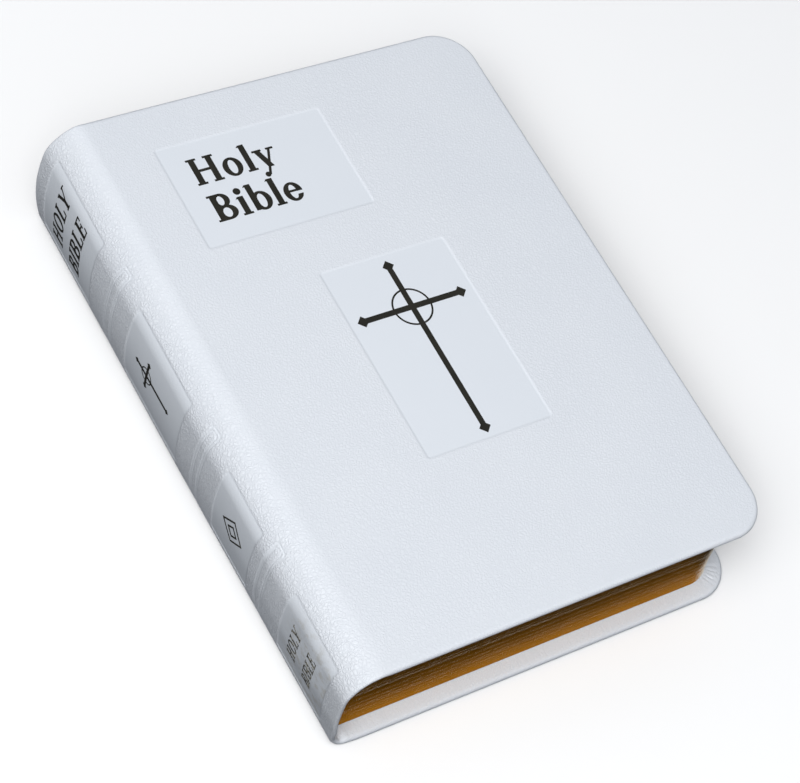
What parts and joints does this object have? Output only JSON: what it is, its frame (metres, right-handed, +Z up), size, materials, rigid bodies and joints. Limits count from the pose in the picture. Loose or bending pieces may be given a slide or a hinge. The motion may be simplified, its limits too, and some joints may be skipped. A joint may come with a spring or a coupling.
{
  "type": "bible",
  "caption": "Closed flexible-cover bible with a rounded spine, gilt page edges, a stamped title and cross, and covers and leaf blocks that open.",
  "frame": {"origin": "centre of the bottom of the bounding box, on the back cover's outer face", "axes": "+Z up through the closed book, from the back cover to the front cover; +Y along the spine towards the head; +X from the spine towards the fore edge"},
  "size_m": [0.131, 0.165, 0.039],
  "materials": {
    "cover_leather": "white bonded leather with a fine pebbled grain, semi-matt",
    "cover_board": "thin flexible binder's card",
    "spine_card": "flexible spine card",
    "endpaper": "heavy smooth endpaper",
    "gilt_pages": "thin bible paper, polished gold edges",
    "mull_cloth": "open starched cloth",
    "linen_thread": "waxed sewing thread",
    "headband_cloth": "white rolled headband",
    "stamping_foil": "black stamping foil, soft gloss"
  },
  "bodies": {
    "block_3": {"leaves_3": "gilt_pages", "spine_leather_3": "cover_leather", "spine_inlay_3": "spine_card", "mull_3": "mull_cloth", "sewing_thread_3": "linen_thread", "headbands_3": "headband_cloth", "spine_foil_3": "stamping_foil"},
    "block_2": {"leaves_2": "gilt_pages", "spine_leather_2": "cover_leather", "spine_inlay_2": "spine_card", "mull_2": "mull_cloth", "sewing_thread_2": "linen_thread", "headbands_2": "headband_cloth", "spine_foil_2": "stamping_foil"},
    "block_1": {"leaves_1": "gilt_pages", "spine_leather_1": "cover_leather", "spine_inlay_1": "spine_card", "mull_1": "mull_cloth", "sewing_thread_1": "linen_thread", "headbands_1": "headband_cloth", "spine_foil_1": "stamping_foil"},
    "front_cover": {"front_cover_leather": "cover_leather", "front_board": "cover_board", "front_infill": "cover_board", "front_pastedown": "endpaper", "title_foil": "stamping_foil", "cross_foil": "stamping_foil"},
    "front_flyleaf_leaf": {"front_flyleaf": "endpaper"},
    "block_4": {"leaves_4": "gilt_pages", "spine_leather_4": "cover_leather", "spine_inlay_4": "spine_card", "mull_4": "mull_cloth", "sewing_thread_4": "linen_thread", "headbands_4": "headband_cloth", "spine_foil_4": "stamping_foil"},
    "back_cover": {"back_cover_leather": "cover_leather", "back_board": "cover_board", "back_infill": "cover_board", "back_pastedown": "endpaper"},
    "back_flyleaf_leaf": {"back_flyleaf": "endpaper"}
  },
  "joints": [
    {"name": "centre_opening", "type": "hinge", "parent": "block_3", "child": "block_2", "pos_m": [-0.0655, 0, 0.0195], "axis": [0, -1, 0], "range_deg": [0, 175]},
    {"name": "front_quarter_opening", "type": "hinge", "parent": "block_2", "child": "block_1", "pos_m": [-0.0655, 0, 0.0279], "axis": [0, 1, 0], "range_deg": [-85, 0]},
    {"name": "front_cover_hinge", "type": "hinge", "parent": "block_1", "child": "front_cover", "pos_m": [-0.0555, 0, 0.039], "axis": [0, -1, 0], "range_deg": [0, 180]},
    {"name": "front_flyleaf_lift", "type": "hinge", "parent": "block_1", "child": "front_flyleaf_leaf", "pos_m": [-0.0525, 0, 0.0364], "axis": [0, -1, 0], "range_deg": [0, 27]},
    {"name": "back_quarter_opening", "type": "hinge", "parent": "block_3", "child": "block_4", "pos_m": [-0.0636, 0, 0.0111], "axis": [0, -1, 0], "range_deg": [-85, 0]},
    {"name": "back_cover_hinge", "type": "hinge", "parent": "block_4", "child": "back_cover", "pos_m": [-0.05608, 0, 0], "axis": [0, -1, 0], "range_deg": [-180, 0]},
    {"name": "back_flyleaf_lift", "type": "hinge", "parent": "block_4", "child": "back_flyleaf_leaf", "pos_m": [-0.05308, 0, 0.0026], "axis": [0, -1, 0], "range_deg": [-27, 0]}
  ],
  "couplings": [
    {"joint": "front_flyleaf_lift", "follows": "front_cover_hinge", "ratio": 0.15},
    {"joint": "back_flyleaf_lift", "follows": "back_cover_hinge", "ratio": 0.15}
  ]
}
